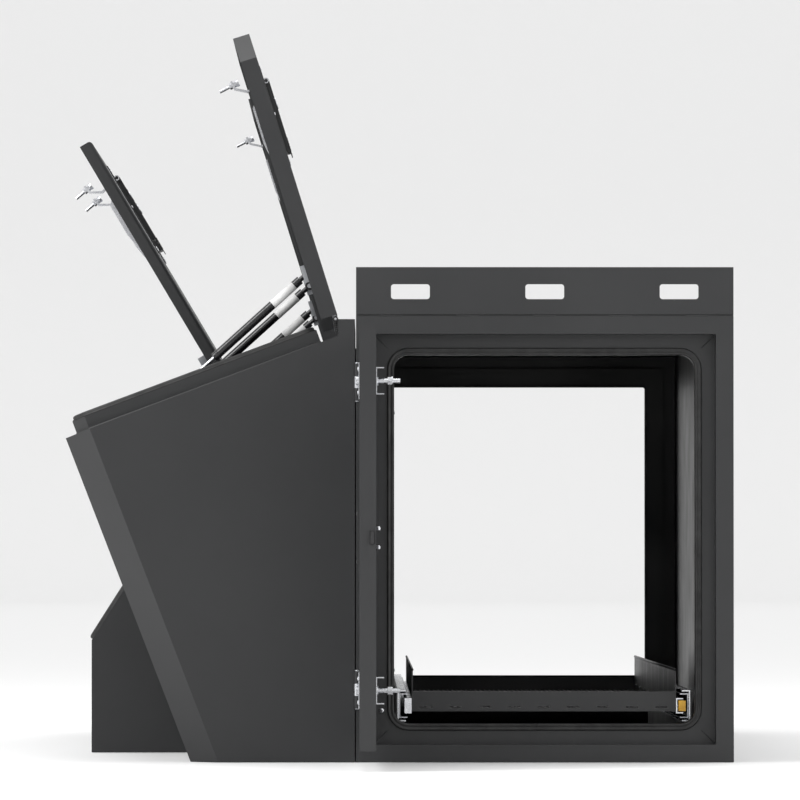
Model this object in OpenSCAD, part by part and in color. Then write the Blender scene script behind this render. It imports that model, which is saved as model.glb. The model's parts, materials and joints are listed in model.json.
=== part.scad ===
// Truck tool box: a through box with a door at each end and a long drawer, two wedge side boxes and
// a middle box along one side of it, and three gas-strut lids.
// Frame: +X away from the side boxes, +Y across the truck, +Z up. Origin: bottom of the through
// box, on its wall next to the side boxes, at mid width.

/* [Through box] */
// Overall width across the truck
overall_w = 2438; // [2420:1:2460]
// Width of the through box
tunnel_w = 642; // [640:1:646]
// Height of the through box
tunnel_h = 758; // [756:1:762]
// Sheet thickness of the bodies
wall = 3; // [2.5:0.5:3.5]

/* [End frames and doors] */
// Width of the face strip around a door
strip_w = 30; // [28:1:31]
// Depth of the recess that a door closes into
recess_d = 33; // [33:1:36]
// Inset of the clear opening from the outside
clear_inset = 65; // [63:1:66]
// Corner radius of the near clear opening
clear_r = 25; // [15:1:30]
// Corner radius of the far clear opening
far_clear_r = 4; // [4:1:30]
// Thickness of a door
door_t = 27.3; // [27:0.1:27.5]
// How far a door stands open
door_open = 90; // [0:1:150]

/* [Mounting rails] */
// Height of a rail above the roof
rail_h = 83.5; // [80:0.5:90]
// Thickness of a rail
rail_t = 5; // [4:1:6]
// Slot length
slot_l = 66; // [50:1:80]
// Slot width
slot_w = 25.5; // [20:0.5:30]
// Corner radius of a slot
slot_r = 5; // [0:0.5:10]
// Distance between slots
slot_pitch = 228.5; // [200:0.5:240]

/* [Lids] */
// Length of a side lid from hinge to free end
side_lid_l = 510; // [505:1:515]
// Length of the middle lid
mid_lid_l = 538; // [534:1:540]
// Depth of a side lid's edge flange below its skin
lid_flange = 29; // [24:1:29]
// Depth of the middle lid's edge flange below its skin
mid_flange = 23; // [20:1:29]
// Chamfer on the outer corner of the side boxes and lids
corner_c = 45; // [35:1:50]
// Slope of the side boxes' tops
side_slope = 20.5; // [20.4:0.1:20.6]
// Slope of the middle box's front
mid_slope = 57.5; // [57.4:0.1:57.6]
// Angle of an open side lid above the horizontal
side_open = 72.6; // [60:0.1:75]
// Angle of the open middle lid above the horizontal
mid_open = 59.2; // [50:0.1:62]

/* [Drawer] */
// Length of the drawer
drawer_l = 1980; // [1900:10:2000]
// Height of the drawer's side walls
drawer_h = 73; // [60:1:75]
// Height of the drawer's end lips
drawer_lip = 34; // [25:1:40]
// Height of a drawer slide
slide_h = 53; // [53:1:54]

/* [Hidden] */
$fn = 48;

black = "#2e2f31";
inner_black = "#232425";
rubber = "#151515";
zinc = "#b9bcc0";
steel = "#8f9296";
yellow = "#e0a020";

half_w = overall_w / 2;
sheet = 2;
clearance = 0.3;
past = 1;

// Unit vector, and the convex outline p (counterclockwise) moved inwards by d.
function unit(v) = v / norm(v);
function left_of(v) = [-v.y, v.x];
function corner(p, i, d) =
  let (n = len(p), n1 = left_of(unit(p[i] - p[(i + n - 1) % n])), n2 = left_of(unit(p[(i + 1) % n] - p[i])))
  p[i] + d * (n1 + n2) / (1 + n1 * n2);
function inset(p, d) = [for (i = [0 : len(p) - 1]) corner(p, i, d)];

// Box between two corners.
module block(a, b) {
  translate(a) cube(b - a);
}

// Rectangle with rounded corners, from the origin.
module rounded(size, r) {
  if (r > 0) {
    translate([r, 0]) square([size.x - 2 * r, size.y]);
    translate([0, r]) square([size.x, size.y - 2 * r]);
    for (x = [r, size.x - r], y = [r, size.y - r]) {
      translate([x, y]) circle(r);
    }
  } else {
    square(size);
  }
}

// Copies the near side to the far side.
module far_side() {
  mirror([0, 1, 0]) children();
}

// Round bar along Y from y0 to y1.
module bar_y(x, z, r, y0, y1) {
  translate([x, y1, z]) rotate([90, 0, 0]) cylinder(r = r, h = y1 - y0);
}

// ---------- Through box ----------

// Ring in the XZ plane between two insets of the through box, from depth d0 to d1 behind the near
// face, with corner radii r0 outside and r1 inside.
module ring_at(i0, i1, d0, d1, r0 = 0, r1 = 0) {
  translate([0, -half_w + d1, 0]) rotate([90, 0, 0]) linear_extrude(d1 - d0) difference() {
    translate([i0, i0]) rounded([tunnel_w - 2 * i0, tunnel_h - 2 * i0], r0);
    translate([i1, i1]) rounded([tunnel_w - 2 * i1, tunnel_h - 2 * i1], r1);
  }
}

slide_x = 71;
drawer_y = -half_w + 79;
support_foot = 38;

// Angle that carries a drawer slide, welded to the floor.
module slide_support() {
  top = slide_z + slide_h;
  block([slide_x - clearance - wall, drawer_y, wall / 2], [slide_x - clearance, drawer_y + drawer_l, top]);
  block([slide_x - support_foot, drawer_y, wall / 2], [slide_x - wall, drawer_y + drawer_l, 2 * wall]);
}

module both_slides() {
  children();
  translate([tunnel_w, 0, 0]) mirror([1, 0, 0]) children();
}

module tunnel_shell() {
  color(black) {
    ring_at(0, wall, wall, overall_w - wall);
    both_slides() slide_support();
  }
}

return_d = 22;
door_mid_z = tunnel_h / 2;
bolt_d = [17.5, 23.5];
bolt_half = 10;
strike_gap = 1.2;

// Recess, stop and return of a door opening with corner radius r.
module end_frame(r) {
  stop = recess_d + wall;
  strike_x = tunnel_w - strip_w;
  difference() {
    union() {
      ring_at(0, strip_w, 0, wall);
      ring_at(strip_w - wall, strip_w, wall / 2, stop);
      ring_at(strip_w - wall, clear_inset, recess_d, stop, 0, r);
      ring_at(clear_inset - wall, clear_inset, recess_d + wall / 2, stop + return_d, r + wall, r);
    }
    door_block([strike_x - past, strike_x + wall + past], [bolt_d[0] - strike_gap, bolt_d[1] + strike_gap],
               [door_mid_z - bolt_half - strike_gap, door_mid_z + bolt_half + strike_gap]);
  }
}

module end_frame_near() {
  color(black) end_frame(clear_r);
}

module end_frame_far() {
  color(black) far_side() end_frame(far_clear_r);
}

seal_w = 12;
seal_lip = 4;
seal_foot = 2;
seal_bulb = 5.4;

// Door seal: a broad foot with a narrower bulb, round a clear opening with corner radius r.
module door_seal(r) {
  ring_at(clear_inset - seal_w, clear_inset, recess_d - seal_foot, recess_d, r + seal_w, r);
  ring_at(clear_inset - seal_w + seal_lip, clear_inset - seal_lip / 2,
          recess_d - seal_bulb, recess_d - seal_foot, r + seal_w - seal_lip, r + seal_lip / 2);
}

module door_seals() {
  color(rubber) {
    door_seal(clear_r);
    far_side() door_seal(far_clear_r);
  }
}

seam = 3.5;
rail_foot = 45;
stitch_l = 40;
stitch_x = [60, 190, 320, 450, 580];

module rail_near() {
  mid_z = tunnel_h + rail_h / 2;
  color(black) {
    difference() {
      block([0, -half_w, tunnel_h + seam], [tunnel_w, -half_w + rail_t, tunnel_h + rail_h]);
      for (i = [-1 : 1]) {
        translate([tunnel_w / 2 + i * slot_pitch - slot_l / 2, -half_w - past, mid_z + slot_w / 2])
          rotate([-90, 0, 0]) linear_extrude(rail_t + 2 * past) rounded([slot_l, slot_w], slot_r);
      }
    }
    block([0, -half_w + seam, tunnel_h], [tunnel_w, -half_w + rail_foot, tunnel_h + rail_t]);
    for (x = stitch_x) {
      block([x - stitch_l / 2, -half_w + 1, tunnel_h],
            [x + stitch_l / 2, -half_w + seam + past, tunnel_h + rail_t]);
    }
  }
}

module rail_far() {
  far_side() rail_near();
}

// ---------- Lid frames ----------
// Every lid is drawn closed in its own frame: hinge axis along Y at the origin, the lid towards -X,
// outwards is +Z.

side_axis = [-35, 0, 754];
mid_axis = [-206, 0, 632];
skin_top = 5;
skin_under = skin_top - sheet;
deck_z = -29.1;
deck_under = deck_z - wall;
rim_foot = deck_z + 0.1;
rim_inset = 37;
mouth_inset = 53;
rim_sheet = 2.5;
rim_top = -5.5;
seal_top = skin_under - clearance;

gap_y = 512;
side_y0 = -half_w;
side_y1 = -gap_y;
lid_edge = 3;
mid_half = gap_y - 2;
mid_lid_half = mid_half - 4.5;
rim_reach = 9;

// Outlines of the lids; the rims under them use the same ones, longer by more.
function side_outline(more = 0) =
  let (y0 = side_y0 + lid_edge, y1 = side_y1 - lid_edge, l = side_lid_l + more)
  [[0, y0], [0, y1], [-l, y1], [-l, y0 + corner_c], [-l + corner_c, y0]];
function mid_outline(more = 0) =
  let (h = mid_lid_half, l = mid_lid_l + more) [[0, -h], [0, h], [-l, h], [-l, -h]];

module side_closed() {
  translate(side_axis) rotate([0, -side_slope, 0]) children();
}
module side_opened() {
  translate(side_axis) rotate([0, side_open, 0]) children();
}
module mid_closed() {
  translate(mid_axis) rotate([0, -mid_slope, 0]) children();
}
module mid_opened() {
  translate(mid_axis) rotate([0, mid_open, 0]) children();
}

module prism(p, z0, z1) {
  translate([0, 0, z0]) linear_extrude(z1 - z0) polygon(p);
}

// ---------- Side and middle boxes ----------

box_gap = 2;
front_foot_x = -282;
front_top = [-495, 551];
ledge_x = -30;
ledge_top = 753;
side_ridge = [-box_gap, front_top.y + (-box_gap - front_top.x) * tan(side_slope)];
side_profile = [[front_foot_x, 0], [-box_gap, 0], side_ridge, front_top];
front_lean = atan((front_foot_x - front_top.x) / front_top.y);

// Solid of a side box, moved inwards by d on all sides.
module side_solid(d) {
  reach = corner_c + d * sqrt(2);
  far = 2 * front_top.y;
  difference() {
    translate([0, side_y1 - d, 0]) rotate([90, 0, 0]) linear_extrude(side_y1 - side_y0 - 2 * d)
      polygon(inset(side_profile, d));
    translate([front_foot_x, side_y0, 0]) rotate([0, -front_lean, 0]) translate([0, 0, -far / 2])
      linear_extrude(2 * far) polygon([[-reach, -reach], [2 * reach, -reach], [-reach, 2 * reach]]);
  }
}

module side_box_near() {
  color(black) {
    difference() {
      side_solid(0);
      side_solid(wall);
      side_closed() prism(inset(side_outline(rim_reach), mouth_inset), deck_under - 2 * wall, deck_z + wall);
    }
    ledge(side_y0, side_y1);
  }
}

// Folded ledge that carries a side lid's hinge.
module ledge(y0, y1) {
  root = side_ridge.y - 15;
  block([ledge_x, y0, root], [ledge_x + wall, y1, ledge_top]);
  block([ledge_x, y0, ledge_top - wall], [-box_gap, y1, ledge_top]);
  block([-box_gap - wall, y0, side_ridge.y - wall], [-box_gap, y1, ledge_top]);
  for (y = [y0, y1 - wall]) {
    block([ledge_x, y, root], [-box_gap, y + wall, ledge_top]);
  }
}

module side_box_far() {
  far_side() side_box_near();
}

mid_back = -474.5;
mid_knee = 201;
mid_roof = 722;
mid_ledge_l = 28;
mid_ledge_x = 5;

// Point of the closed middle lid's frame in the row frame's XZ plane.
function mid_point(x, z) =
  [mid_axis.x + x * cos(mid_slope) - z * sin(mid_slope),
   mid_axis.z + x * sin(mid_slope) + z * cos(mid_slope)];
mid_ridge = mid_point(mid_ledge_x + mid_ledge_l, deck_z);
mid_front_z = mid_ridge.y - (mid_ridge.x - mid_back) * tan(mid_slope);
mid_profile = [[mid_back, 0], [-box_gap, 0], [-box_gap, mid_roof], mid_ridge, [mid_back, mid_front_z]];

module mid_solid(d) {
  translate([0, mid_half - d, 0]) rotate([90, 0, 0]) linear_extrude(2 * (mid_half - d))
    polygon(inset(mid_profile, d));
}

// Side plate's upper part, which stands past the deck and hides the rim.
module mid_cheek() {
  end = mid_ledge_x + mid_ledge_l;
  translate([0, mid_half, 0]) rotate([90, 0, 0]) linear_extrude(wall)
    polygon([[mid_back, mid_front_z - wall], mid_point(end, deck_under), mid_point(end, rim_top),
             [mid_back, mid_knee]]);
}

module middle_box() {
  x0 = mid_ledge_x;
  x1 = mid_ledge_x + mid_ledge_l;
  root = deck_z - 1;
  color(black) {
    difference() {
      mid_solid(0);
      mid_solid(wall);
      mid_closed() prism(inset(mid_outline(rim_reach), mouth_inset), deck_under - 2 * wall, deck_z + wall);
    }
    mid_closed() {
      block([x0, -mid_half, root], [x0 + wall, mid_half, -past]);
      block([x0, -mid_half, -past - wall], [x1, mid_half, -past]);
      block([x1 - wall, -mid_half, root], [x1, mid_half, -past]);
    }
    mid_cheek();
    far_side() mid_cheek();
  }
}

// Upstand round a lid opening with a narrow return for the seal.
module lid_rim(p) {
  difference() {
    prism(inset(p, rim_inset), rim_foot, rim_top);
    prism(inset(p, rim_inset + rim_sheet), deck_z - past, rim_top - rim_sheet);
    prism(inset(p, mouth_inset), deck_z - past, rim_top + past);
  }
}

module lid_rim_near() {
  color(black) side_closed() lid_rim(side_outline(rim_reach));
}
module lid_rim_far() {
  far_side() lid_rim_near();
}
module lid_rim_middle() {
  color(black) mid_closed() lid_rim(mid_outline(rim_reach));
}

// Rubber strip that sits on a rim: a broad foot and a bulb.
module lid_seal(p) {
  foot_inset = rim_inset + 1;
  difference() {
    prism(inset(p, foot_inset), rim_top, rim_top + seal_foot);
    prism(inset(p, foot_inset + seal_w), rim_top - past, rim_top + seal_foot + past);
  }
  difference() {
    prism(inset(p, foot_inset + seal_lip / 2), rim_top + seal_foot, seal_top);
    prism(inset(p, foot_inset + seal_w - seal_lip / 2), rim_top + seal_foot - past, seal_top + past);
  }
}

module lid_seals() {
  color(rubber) {
    side_closed() lid_seal(side_outline(rim_reach));
    far_side() side_closed() lid_seal(side_outline(rim_reach));
    mid_closed() lid_seal(mid_outline(rim_reach));
  }
}

// ---------- Lid hinges ----------

knuckle_r = 4.5;
pin_r = 2;
pin_fit = 0.05;
pitch = 50;
knuckle_gap = 0.5;
leaf_t = 2;
hinge_margin = 10;

// Knuckles of a piano hinge from y0 to y1, every second one from first.
module knuckles(y0, y1, first) {
  n = floor((y1 - y0) / pitch);
  step = (y1 - y0) / n;
  for (i = [first : 2 : n - 1]) {
    bar_y(0, 0, knuckle_r, y0 + i * step, y0 + (i + 1) * step - knuckle_gap);
    translate([0, y0 + i * step, 0]) children();
  }
}

function knuckle_step(y0, y1) = (y1 - y0) / floor((y1 - y0) / pitch);

// Fixed leaf against the ledge's face.
module fixed_leaf(y0, y1, depth) {
  tab = knuckle_step(y0, y1) - knuckle_gap;
  face = knuckle_r + 0.5;
  difference() {
    union() {
      block([face - leaf_t, y0, -depth], [face, y1, -knuckle_r - 1]);
      knuckles(y0, y1, 0) block([face - leaf_t, 0, -knuckle_r - 2], [face, tab, 0]);
    }
    bar_y(0, 0, pin_r + pin_fit, y0 - past, y1 + past);
  }
}

// Leaf under the lid's skin.
module moving_leaf(y0, y1) {
  tab = knuckle_step(y0, y1) - knuckle_gap;
  difference() {
    union() {
      block([-lid_leaf_l, y0, skin_under - leaf_t], [-knuckle_r - 1, y1, skin_under]);
      knuckles(y0, y1, 1) block([-knuckle_r - 2, 0, skin_under - leaf_t], [0, tab, skin_under]);
    }
    bar_y(0, 0, pin_r + pin_fit, y0 - past, y1 + past);
  }
}

side_hinge_y = [side_y0 + lid_edge + hinge_margin, side_y1 - lid_edge - hinge_margin];
mid_hinge_y = [-mid_lid_half + hinge_margin, mid_lid_half - hinge_margin];
side_leaf_l = 22;
mid_leaf_l = 26;
lid_leaf_l = 32;

module side_fixed_leaf() {
  translate(side_axis) fixed_leaf(side_hinge_y[0], side_hinge_y[1], side_leaf_l);
}

module lid_hinge_fixed_leaves() {
  color(inner_black) {
    side_fixed_leaf();
    far_side() side_fixed_leaf();
    mid_closed() fixed_leaf(mid_hinge_y[0], mid_hinge_y[1], mid_leaf_l);
  }
}

// ---------- Lid panels ----------

pan_inset = 62;
pan_depth = -10;
pan_lip = 14;

mid_bend = 7;

// Cuts the top edge from a to b of an outline round, with radius r.
module round_edge(a, b, z, r) {
  v = b - a;
  translate([a.x, a.y, z]) rotate([0, 0, atan2(v.y, v.x)]) translate([-r, 0, 0]) rotate([90, 0, 90])
    linear_extrude(norm(v) + 2 * r) difference() {
      translate([-past, -r]) square(r + past);
      translate([r, -r]) circle(r);
    }
}

// Block on an outline with every top edge but the first, the hinge's, rounded to r; 0 leaves them sharp.
module bent_block(p, z0, z1, r) {
  difference() {
    prism(p, z0, z1);
    if (r > 0) {
      for (i = [1 : len(p) - 1]) {
        round_edge(p[i], p[(i + 1) % len(p)], z1, r);
      }
    }
  }
}

// Skin with a folded flange on three sides, cut out for the latches whose pivots are at u.
module lid_skin(p, flange, u, latch_y, bend = 0) {
  difference() {
    bent_block(p, skin_top - flange, skin_top, bend);
    bent_block(inset(p, sheet), skin_top - flange - past, skin_under, max(0, bend - sheet));
    block([-knuckle_r - 1.5, -half_w, -half_w], [past, half_w, half_w]);
    latch_cuts(u, latch_y, sheet + 0.5, skin_under - past, skin_top + past);
  }
}

// Hat-shaped stiffener under the skin, notched for the latches.
module lid_pan(p, u, latch_y) {
  wall_inset = pan_inset + pan_lip;
  difference() {
    union() {
      prism(inset(p, pan_inset), skin_under - sheet, skin_under);
      prism(inset(p, wall_inset - sheet), pan_depth, skin_under - sheet / 2);
    }
    prism(inset(p, wall_inset), pan_depth + sheet, skin_under + past);
    latch_cuts(u, latch_y, sheet + 2, -half_w, half_w, 2 * pan_lip);
  }
}

// Openings round the latch dishes, larger by gap all round and by more at the free end.
module latch_cuts(u, latch_y, gap, z0, z1, more = 0) {
  for (y = latch_y) {
    block([dish_x[0] - gap - more - u, y - dish_half - gap, z0],
          [dish_x[1] + gap - u, y + dish_half + gap, z1]);
  }
}

// ---------- Gas struts ----------

stud_u = 90;
stud_z = -23;
stud_r = 4;
eye_w = 10;
eye_r = 7.5;
neck_r = 4.2;
tube_r = 7.5;
rod_r = 3;
tube_l = 197;
side_foot = [-347, 595];
mid_foot = [-344, 272];
plate_off = 9;
side_strut_y = [side_y0 + 69, side_y1 - 68];
mid_strut_y = [-440, 440];

// XZ place of a lid's strut stud, with the lid at angle a, and the strut's length and lean there.
function stud_at(axis, a) =
  [axis.x - stud_u * cos(a) + stud_z * sin(a), axis.z + stud_u * sin(a) + stud_z * cos(a)];
function strut_len(axis, a, foot) = norm(stud_at(axis, a) - foot);
function strut_lean(axis, a, foot) =
  let (v = foot - stud_at(axis, a)) atan2(-v.y, v.x);

// Points +X from the stud to the foot.
module along_strut(axis, a, foot) {
  s = stud_at(axis, a);
  translate([s.x, 0, s.y]) rotate([0, strut_lean(axis, a, foot), 0]) children();
}

tube_start = 16;
rod_end = 12;
rod_in = 25;
bore_l = 180;

module strut_tube(y) {
  mouth = tube_start + tube_l;
  difference() {
    union() {
      bar_y(0, 0, eye_r, y - eye_w / 2, y + eye_w / 2);
      translate([eye_r - 2, y, 0]) rotate([0, 90, 0]) cylinder(r = neck_r, h = tube_start - eye_r + 4);
      translate([tube_start, y, 0]) rotate([0, 90, 0]) cylinder(r = tube_r, h = tube_l);
    }
    bar_y(0, 0, stud_r + pin_fit, y - eye_w, y + eye_w);
    translate([mouth - bore_l, y, 0]) rotate([0, 90, 0]) cylinder(r = rod_r + pin_fit, h = bore_l + past);
  }
}

// Rod from inside the tube's mouth to the open socket at the foot.
module strut_rod(y, length) {
  start = tube_start + tube_l - rod_in;
  translate([start, y, 0]) rotate([0, 90, 0]) cylinder(r = rod_r, h = length - rod_end - start);
  translate([length - rod_end - 1, y, 0]) rotate([0, 90, 0]) cylinder(r = neck_r, h = rod_end + 1);
  bar_y(length, 0, eye_r, y - eye_w / 2, y + eye_w / 2);
}

bracket_off = 13;
bracket_t = 3;

// Bracket under the deck, with the ball stud that the rod's socket stands in front of.
module lower_bracket(foot, y, side) {
  y0 = y + side * (eye_w / 2 + 0.5);
  y1 = y + side * (bracket_off + bracket_t);
  bar_y(foot.x, foot.y, stud_r + 1, min(y0, y1), max(y0, y1));
}

module foot_plate(local, y, side) {
  y0 = y + side * bracket_off;
  y1 = y + side * (bracket_off + bracket_t);
  block([local.x - 16, min(y0, y1), local.y - 12], [local.x + 16, max(y0, y1), deck_under]);
}

// Place of a foot in the closed lid's frame.
function to_lid(axis, slope, foot) =
  let (v = foot - [axis.x, axis.z])
  [v.x * cos(slope) + v.y * sin(slope), -v.x * sin(slope) + v.y * cos(slope)];

module side_lower_brackets() {
  local = to_lid(side_axis, side_slope, side_foot);
  for (k = [0, 1]) {
    side = k == 0 ? -1 : 1;
    lower_bracket(side_foot, side_strut_y[k], side);
    side_closed() foot_plate(local, side_strut_y[k], side);
  }
}

module strut_lower_brackets() {
  local = to_lid(mid_axis, mid_slope, mid_foot);
  color(zinc) {
    side_lower_brackets();
    far_side() side_lower_brackets();
    for (side = [-1, 1]) {
      lower_bracket(mid_foot, side * mid_strut_y[1], side);
      mid_closed() foot_plate(local, side * mid_strut_y[1], side);
    }
  }
}

// Ear plate and stud under a lid for one strut.
module lid_stud(y, side) {
  y0 = y + side * plate_off;
  y1 = y + side * (plate_off + 2);
  block([-stud_u - 15, min(y0, y1), stud_z - 8], [-stud_u + 15, max(y0, y1), skin_under]);
  p0 = y - side * (eye_w / 2 + 1);
  bar_y(-stud_u, stud_z, stud_r, min(p0, y0), max(p0, y0));
}

// ---------- Lid latches ----------

// A latch is drawn round its pivot: +X towards the lid's hinge. pivot_z is above the lid's axis plane.
latch_from_end = 68;
side_latch_u = side_lid_l - latch_from_end;
mid_latch_u = mid_lid_l - latch_from_end;
side_latch_y = (side_y0 + side_y1) / 2;
mid_latch_y = 240;
pivot_z = 10.5;
latch_rest = 10;
latch_pin_r = 3;
hub_r = 5;
ear_r = 4.9;
ear_t = 3;
dish_x = [-16, 142];
dish_half = 42;
dish_depth = [-12, -24, -17];
dish_steps = [24, 40, 100];
dish_rim = 10;
arm_slot_half = 12;

// Turns a latch about its pivot, from pressed in.
module latch_turn(a) {
  translate([0, 0, pivot_z]) rotate([0, -a, 0]) translate([0, 0, -pivot_z]) children();
}

// Side view of the dish under the handle, up to height top.
function dish_profile(top) =
  [[dish_x[0], top], [dish_x[0], dish_depth[0]], [dish_steps[0], dish_depth[0]],
   [dish_steps[1], dish_depth[1]], [dish_steps[2], dish_depth[1]], [dish_x[1], dish_depth[2]],
   [dish_x[1], top]];

module dish_solid(d, top) {
  translate([0, dish_half + d, 0]) rotate([90, 0, 0]) linear_extrude(2 * (dish_half + d))
    polygon(inset(dish_profile(top), -d));
}

module latch_housing(u, y) {
  plate = skin_top + sheet;
  floor_z = dish_depth[0] - sheet - past;
  plate_half = dish_half + dish_rim;
  translate([-u, y, 0]) difference() {
    union() {
      block([dish_x[0] - dish_rim, -plate_half, skin_top], [dish_x[1] + dish_rim, plate_half, plate]);
      dish_solid(sheet, skin_top - 1);
      for (s = [-1, 1]) {
        ear_y = s * (dish_half + sheet + ear_t / 2);
        block([-ear_r, ear_y - ear_t / 2, plate - past], [ear_r, ear_y + ear_t / 2, pivot_z]);
        bar_y(0, pivot_z, ear_r, ear_y - ear_t / 2, ear_y + ear_t / 2);
      }
    }
    dish_solid(0, plate + past);
    block([dish_x[0] + sheet, -arm_slot_half, floor_z], [dish_steps[0] - sheet, arm_slot_half, 0]);
    bar_y(0, pivot_z, latch_pin_r + pin_fit, -2 * dish_half, 2 * dish_half);
  }
}

arm_half = 9;
arm_gap = 0.5;
handle_half = 40;
handle_l = 131;
handle_lip = 138;
handle_top = pivot_z + hub_r;

// Folded paddle that lies along the lid, with its pin through both ears.
module latch_handle(u, y) {
  pin_end = dish_half + sheet + ear_t + 1;
  hub_y = arm_half + arm_gap;
  translate([-u, y, 0]) {
    difference() {
      block([0, -handle_half, pivot_z - 1], [handle_l, handle_half, handle_top]);
      block([hub_r + sheet, sheet - handle_half, 0],
            [handle_l - sheet, handle_half - sheet, handle_top - sheet]);
      block([-past, -hub_y, 0], [hub_r + sheet + past, hub_y, handle_top + past]);
    }
    block([handle_l - past, -handle_half, handle_top - 1.5], [handle_lip, handle_half, handle_top]);
    bar_y(0, pivot_z, hub_r, hub_y, handle_half);
    bar_y(0, pivot_z, hub_r, -handle_half, -hub_y);
    bar_y(0, pivot_z, latch_pin_r, -pin_end, pin_end);
  }
}

arm_line = [[0, pivot_z], [0, -27], [-14, -44], [-29, -44]];
arm_t = 4;
bolt_reach = 22;
bolt_r = 3;
bolt_tip = 26;
bolt_head_h = 4;
nut_h = 5;
bolt_top = deck_under - 1.2;

// Points beside the open line c at distance d on its left.
function beside(c, d) =
  [for (i = [0 : len(c) - 1])
    let (a = max(i, 1), b = min(i, len(c) - 2),
         n1 = left_of(unit(c[a] - c[a - 1])), n2 = left_of(unit(c[b + 1] - c[b])))
    c[i] + d * (n1 + n2) / (1 + n1 * n2)];
function strap(c, t) =
  let (a = beside(c, -t / 2), b = beside(c, t / 2)) concat(a, [for (i = [len(b) - 1 : -1 : 0]) b[i]]);

// Bent arm on the pin, with an adjusting bolt and two nuts.
module latch_arm(u, y) {
  flat_z = arm_line[3].y;
  head_z = bolt_top - bolt_head_h;
  translate([-u, y, 0]) latch_turn(latch_rest) {
    difference() {
      union() {
        translate([0, arm_half, 0]) rotate([90, 0, 0]) linear_extrude(2 * arm_half)
          polygon(strap(arm_line, arm_t));
        bar_y(0, pivot_z, hub_r, -arm_half, arm_half);
      }
      bar_y(0, pivot_z, latch_pin_r + pin_fit, -dish_half, dish_half);
      translate([-bolt_reach, 0, flat_z - arm_t]) cylinder(r = bolt_r + 0.2, h = 2 * arm_t);
    }
    translate([-bolt_reach, 0, flat_z - bolt_tip]) cylinder(r = bolt_r, h = head_z - flat_z + bolt_tip);
    translate([-bolt_reach, 0, head_z]) cylinder(r = 6.5, h = bolt_head_h);
    for (z = [flat_z - arm_t / 2 - nut_h, flat_z + arm_t / 2]) {
      translate([-bolt_reach, 0, z]) difference() {
        cylinder(r = 5.8, h = nut_h - 0.4, $fn = 6);
        translate([0, 0, -past]) cylinder(r = bolt_r + pin_fit, h = nut_h + 2 * past);
      }
    }
  }
}

// ---------- Lid assemblies ----------

module lid_hardware(hinge_y, stud_ys) {
  moving_leaf(hinge_y[0], hinge_y[1]);
  lid_stud(stud_ys[0], -1);
  lid_stud(stud_ys[1], 1);
}

module lid_skin_near() {
  color(black) side_opened() lid_skin(side_outline(), lid_flange, side_latch_u, [side_latch_y]);
}
module lid_pan_near() {
  color(inner_black) side_opened() lid_pan(side_outline(), side_latch_u, [side_latch_y]);
}
module lid_hardware_near() {
  color(steel) side_opened() lid_hardware(side_hinge_y, side_strut_y);
}
module lid_latch_housing_near() {
  color(zinc) side_opened() latch_housing(side_latch_u, side_latch_y);
}
module latch_handle_near() {
  color(inner_black) side_opened() latch_handle(side_latch_u, side_latch_y);
}
module latch_arm_near() {
  color(zinc) side_opened() latch_arm(side_latch_u, side_latch_y);
}
module lid_skin_far() {
  far_side() lid_skin_near();
}
module lid_pan_far() {
  far_side() lid_pan_near();
}
module lid_hardware_far() {
  far_side() lid_hardware_near();
}
module lid_latch_housing_far() {
  far_side() lid_latch_housing_near();
}
module latch_handle_far() {
  far_side() latch_handle_near();
}
module latch_arm_far() {
  far_side() latch_arm_near();
}
module lid_skin_middle() {
  color(black) mid_opened()
    lid_skin(mid_outline(), mid_flange, mid_latch_u, [-mid_latch_y, mid_latch_y], mid_bend);
}
module lid_pan_middle() {
  color(inner_black) mid_opened() lid_pan(mid_outline(), mid_latch_u, [-mid_latch_y, mid_latch_y]);
}
module lid_hardware_middle() {
  color(steel) mid_opened() lid_hardware(mid_hinge_y, mid_strut_y);
}
module lid_latch_housings_middle() {
  color(zinc) mid_opened() {
    latch_housing(mid_latch_u, -mid_latch_y);
    latch_housing(mid_latch_u, mid_latch_y);
  }
}
module latch_handle_middle_a() {
  color(inner_black) mid_opened() latch_handle(mid_latch_u, -mid_latch_y);
}
module latch_arm_middle_a() {
  color(zinc) mid_opened() latch_arm(mid_latch_u, -mid_latch_y);
}
module latch_handle_middle_b() {
  color(inner_black) mid_opened() latch_handle(mid_latch_u, mid_latch_y);
}
module latch_arm_middle_b() {
  color(zinc) mid_opened() latch_arm(mid_latch_u, mid_latch_y);
}

module strut_tubes_near() {
  color(inner_black) along_strut(side_axis, side_open, side_foot) {
    strut_tube(side_strut_y[0]);
    strut_tube(side_strut_y[1]);
  }
}
module strut_rods_near() {
  length = strut_len(side_axis, side_open, side_foot);
  color(zinc) along_strut(side_axis, side_open, side_foot) {
    strut_rod(side_strut_y[0], length);
    strut_rod(side_strut_y[1], length);
  }
}
module strut_tubes_far() {
  far_side() strut_tubes_near();
}
module strut_rods_far() {
  far_side() strut_rods_near();
}
module strut_tubes_middle() {
  color(inner_black) along_strut(mid_axis, mid_open, mid_foot) {
    strut_tube(mid_strut_y[0]);
    strut_tube(mid_strut_y[1]);
  }
}
module strut_rods_middle() {
  length = strut_len(mid_axis, mid_open, mid_foot);
  color(zinc) along_strut(mid_axis, mid_open, mid_foot) {
    strut_rod(mid_strut_y[0], length);
    strut_rod(mid_strut_y[1], length);
  }
}

// ---------- Doors ----------
// A door is drawn closed, in the near end's recess: depth is measured inwards from the near face.

door_axis = [1.7, -half_w - 5];
door_x = [strip_w + 6, tunnel_w - strip_w - 6];
door_z = [strip_w + 3, tunnel_h - strip_w - 3];
hinge_z = [123.2, 645.6];
hinge_h = 62;
door_knuckle_r = 5;
door_pin_r = 2.5;
hinge_bolt_x = 92;
hinge_bolt_r = 4;
leaf_end = 108;

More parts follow.
